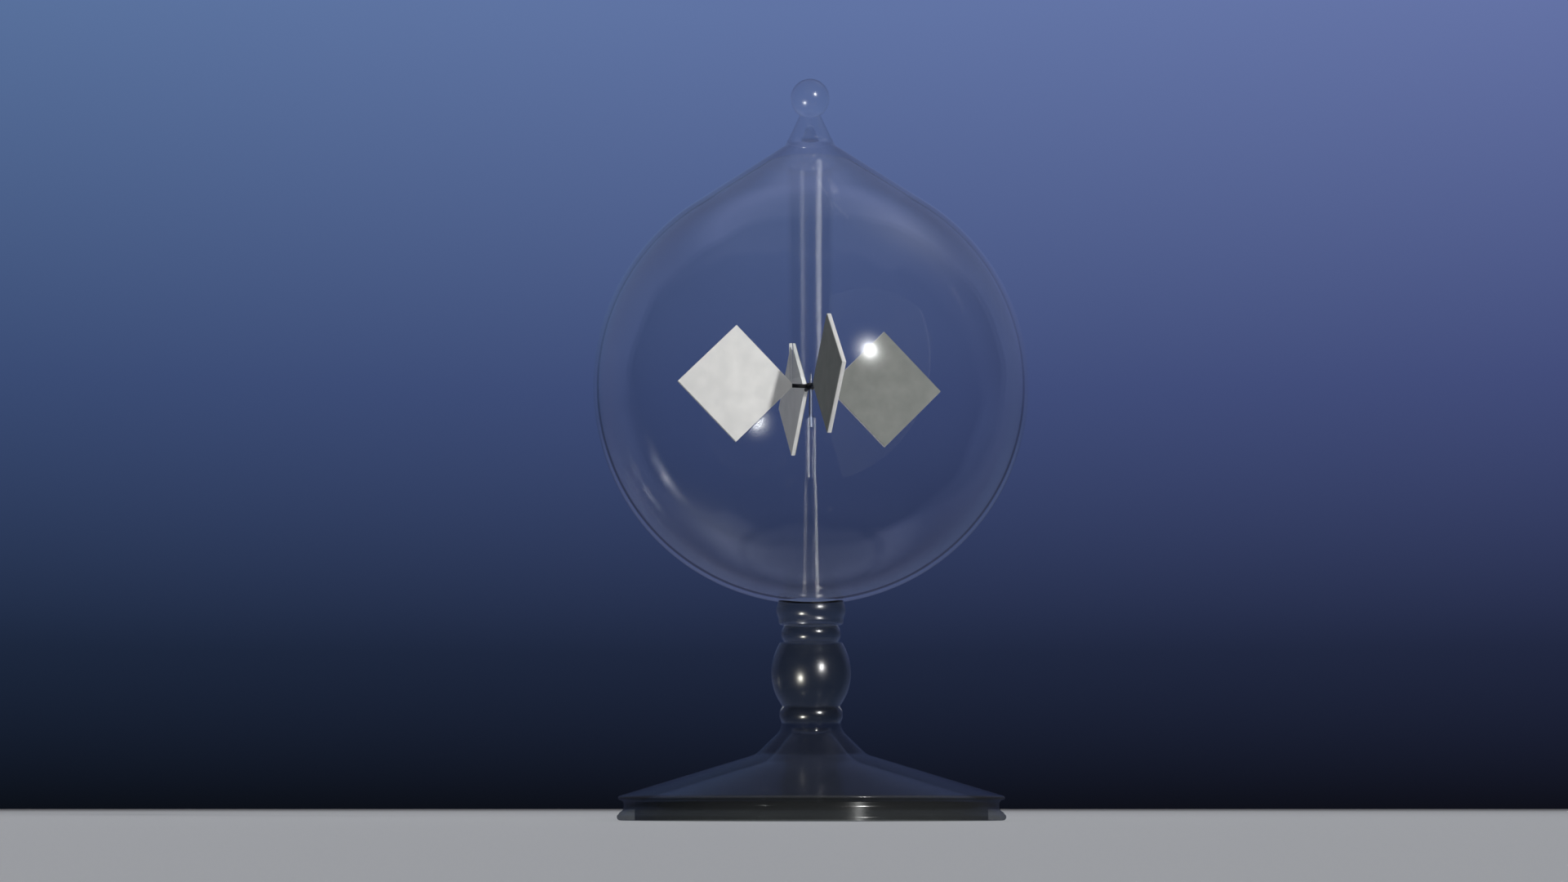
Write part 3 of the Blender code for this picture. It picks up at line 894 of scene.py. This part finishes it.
def colours_by_height(tree, height, stops):
    """A colour for the sine of an elevation, blended between stops that run upwards."""
    low = stops[0][0]
    high = stops[-1][0]
    ramp = add_node(tree, "ShaderNodeValToRGB")
    marks = ramp.color_ramp.elements
    while len(marks) < len(stops):
        marks.new(1.0)
    for mark, (sine, colour) in zip(marks, stops):
        mark.position = (sine - low) / (high - low)
        mark.color = (*colour, 1.0)
    tree.links.new(spread(tree, height, low, high), ramp.inputs[0])
    return ramp.outputs["Color"]


def backdrop_colour(tree, split):
    """The plain backdrop in a direction, which is a Separate XYZ node."""
    colour = colours_by_height(tree, split.outputs["Z"], BACKDROP)
    scale = add_node(tree, "ShaderNodeCombineXYZ")
    for channel, lean in enumerate(BACKDROP_LEAN):
        share = maths(tree, "MULTIPLY", split.outputs["X"], lean)
        tree.links.new(maths(tree, "ADD", share, BACKDROP_GAIN), scale.inputs[channel])
    tinted = add_node(tree, "ShaderNodeVectorMath", operation="MULTIPLY")
    fill_all(tree, tinted, {0: colour, 1: scale.outputs[0]})
    return tinted.outputs["Vector"]


def room_light(tree, vector, split):
    """How bright the room is in a direction: dim in front of the object, up to a wavy edge."""
    side = split.outputs["X"]
    wave = add_node(tree, "ShaderNodeTexNoise")
    fill_all(tree, wave, {"Vector": vector, "Scale": FRONT_WAVE_SCALE, "Detail": 1.0})
    widened = maths(tree, "MULTIPLY", maths(tree, "MULTIPLY", side, side), FRONT_WIDENS)
    leaning = maths(tree, "MULTIPLY", side, FRONT_LEANS)
    swing = maths(tree, "SUBTRACT", wave.outputs["Fac"], NOISE_MIDDLE)
    waving = maths(tree, "MULTIPLY", swing, FRONT_WAVES)
    edge = maths(tree, "ADD", maths(tree, "ADD", widened, leaning), waving)
    beyond = maths(tree, "SUBTRACT", split.outputs["Y"], edge)
    return spread(tree, beyond, -FRONT_SOFT, FRONT_SOFT, 1.0 - FRONT_SHADE, 1.0)


def room_colour(tree, vector):
    """The soft room that only reflections show, with the glows of its lamps."""
    split = add_node(tree, "ShaderNodeSeparateXYZ")
    tree.links.new(vector, split.inputs[0])
    walls = colours_by_height(tree, split.outputs["Z"], ROOM)
    shade = add_node(tree, "ShaderNodeVectorMath", operation="SCALE")
    fill_all(tree, shade, {0: walls, "Scale": room_light(tree, vector, split)})
    backward = spread(tree, split.outputs["Y"], *BEHIND)
    upward = spread(tree, split.outputs["Z"], *ABOVE)
    behind = maths(tree, "MULTIPLY", backward, upward)
    colour = blend_colours(tree, behind, shade.outputs["Vector"], backdrop_colour(tree, split))
    for azimuth, elevation, width, strength in GLOWS:
        patch = glow(tree, vector, direction(azimuth, elevation), width)
        lit = add_node(tree, "ShaderNodeVectorMath", operation="ADD")
        fill_all(tree, lit, {0: colour, 1: maths(tree, "MULTIPLY", patch, strength)})
        colour = lit.outputs["Vector"]
    return colour


def build_floor():
    """A pale sheet of paper, in whose place reflections see the room."""
    mesh = bpy.data.meshes.new("floor")
    corners = [
        (-FLOOR_HALF, -FLOOR_HALF, -FLOOR_DROP),
        (FLOOR_HALF, -FLOOR_HALF, -FLOOR_DROP),
        (FLOOR_HALF, FLOOR_HALF, -FLOOR_DROP),
        (-FLOOR_HALF, FLOOR_HALF, -FLOOR_DROP),
    ]
    mesh.from_pydata(corners, [], [(0, 1, 2, 3)])
    floor = add_object("floor", mesh)
    material, tree = new_material("floor_paper")
    paper = add_node(tree, "ShaderNodeBsdfPrincipled")
    looks = {"Base Color": FLOOR_COLOUR, "Roughness": FLOOR_ROUGHNESS, "Specular IOR Level": FLOOR_SHINE}
    fill_all(tree, paper, looks)
    way = add_node(tree, "ShaderNodeNewGeometry")
    outward = add_node(tree, "ShaderNodeVectorMath", operation="SCALE")
    fill_all(tree, outward, {0: way.outputs["Incoming"], "Scale": -1.0})
    room = add_node(tree, "ShaderNodeEmission")
    fill(tree, room.inputs["Color"], room_colour(tree, outward.outputs["Vector"]))
    finish(tree, mix_shaders(tree, was_reflected(tree), paper, room))
    mesh.materials.append(material)
    floor.visible_diffuse = False


def build_world():
    """The backdrop that the camera sees, a dim fill for matt surfaces and the room for reflections."""
    world = bpy.data.worlds.new("soft_room")
    bpy.context.scene.world = world
    world.use_nodes = True
    tree = world.node_tree
    tree.nodes.clear()
    vector = add_node(tree, "ShaderNodeTexCoord").outputs["Generated"]
    split = add_node(tree, "ShaderNodeSeparateXYZ")
    tree.links.new(vector, split.inputs[0])
    path = add_node(tree, "ShaderNodeLightPath")
    scattered = maths(tree, "GREATER_THAN", path.outputs["Diffuse Depth"], ANY_BOUNCE)
    seen = blend_colours(tree, scattered, backdrop_colour(tree, split), FILL_COLOUR)
    colour = blend_colours(tree, was_reflected(tree), seen, room_colour(tree, vector))
    back = add_node(tree, "ShaderNodeBackground")
    tree.links.new(colour, back.inputs["Color"])
    out = add_node(tree, "ShaderNodeOutputWorld")
    tree.links.new(back.outputs[0], out.inputs["Surface"])


def aim(lamp, towards):
    """Turns a lamp so that it shines at the object from a direction."""
    lamp.rotation_mode = "QUATERNION"
    lamp.rotation_quaternion = towards.to_track_quat("Z", "Y")


def link_lamp(lamp, pieces, state):
    """Lets a lamp light only the given pieces (INCLUDE), or everything but them (EXCLUDE)."""
    receivers = bpy.data.collections.new(lamp.name + "_receivers")
    for piece in pieces:
        receivers.objects.link(bpy.data.objects[piece])
    for member in receivers.collection_objects:
        member.light_linking.link_state = state
    lamp.light_linking.receiver_collection = receivers


def build_key():
    """One soft round lamp, to the right of the camera, which skips the straight glass."""
    data = bpy.data.lights.new("key", "SUN")
    data.energy = KEY_STRENGTH
    data.angle = KEY_SIZE
    data.color = KEY_COLOUR
    lamp = add_object("key", data)
    towards = direction(KEY_AZIMUTH, KEY_ELEVATION)
    aim(lamp, towards)
    lamp.location = towards * KEY_AWAY
    straight = {piece for *_, pieces in PANELS for piece in pieces}
    link_lamp(lamp, sorted(straight), "EXCLUDE")


def build_panels():
    """Tall soft panels beside the camera, each for the straight glass that it is linked to."""
    for number, (azimuth, width, power, pieces) in enumerate(PANELS):
        name = f"panel_{number}"
        data = bpy.data.lights.new(name, "AREA")
        data.shape = "RECTANGLE"
        data.size = width
        data.size_y = PANEL_LENGTH
        data.energy = power
        # With it, the share of the panel's light that rays find by chance would be lost at the bulb
        data.cycles.use_multiple_importance_sampling = False
        lamp = add_object(name, data)
        towards = direction(azimuth, 0.0)
        aim(lamp, towards)
        lamp.location = towards * PANEL_AWAY + Vector((0.0, 0.0, PANEL_UP))
        lamp.visible_camera = False
        lamp.visible_transmission = False
        link_lamp(lamp, pieces, "INCLUDE")


def build_overhead():
    """A wide soft panel above, which lights the floor and stays out of the reflections."""
    data = bpy.data.lights.new("overhead", "AREA")
    data.shape = "DISK"
    data.size = OVERHEAD_SIZE
    data.energy = OVERHEAD_POWER
    data.color = OVERHEAD_COLOUR
    lamp = add_object("overhead", data)
    lamp.location = (0.0, 0.0, OVERHEAD_HEIGHT)
    lamp.visible_glossy = False
    lamp.visible_transmission = False


def build_camera():
    """The photograph's camera, which looks slightly up at the object."""
    data = bpy.data.cameras.new("camera")
    data.lens = CAMERA_LENS
    data.sensor_width = SENSOR_WIDTH
    data.clip_start = CLIP_NEAR
    data.clip_end = CLIP_FAR
    camera = add_object("camera", data)
    camera.location = (CAMERA_SIDE, -CAMERA_DISTANCE, CAMERA_HEIGHT)
    camera.rotation_euler = (math.pi / 2.0 + CAMERA_PITCH, 0.0, 0.0)
    bpy.context.scene.camera = camera


def set_light_paths():
    """Enough bounces for many layers of glass, and colours shown as they are."""
    cycles = bpy.context.scene.cycles
    cycles.max_bounces = 24
    cycles.transmission_bounces = 24
    cycles.glossy_bounces = 8
    cycles.diffuse_bounces = 1
    cycles.transparent_max_bounces = 48
    bpy.context.scene.view_settings.view_transform = "Standard"


build_stand_glass(joint_material())
build_turned("pivot_needle", "stand", solid_material("needle_steel", steel_inputs))
build_rotor()
build_floor()
build_world()
build_key()
build_panels()
build_overhead()
build_camera()
set_light_paths()
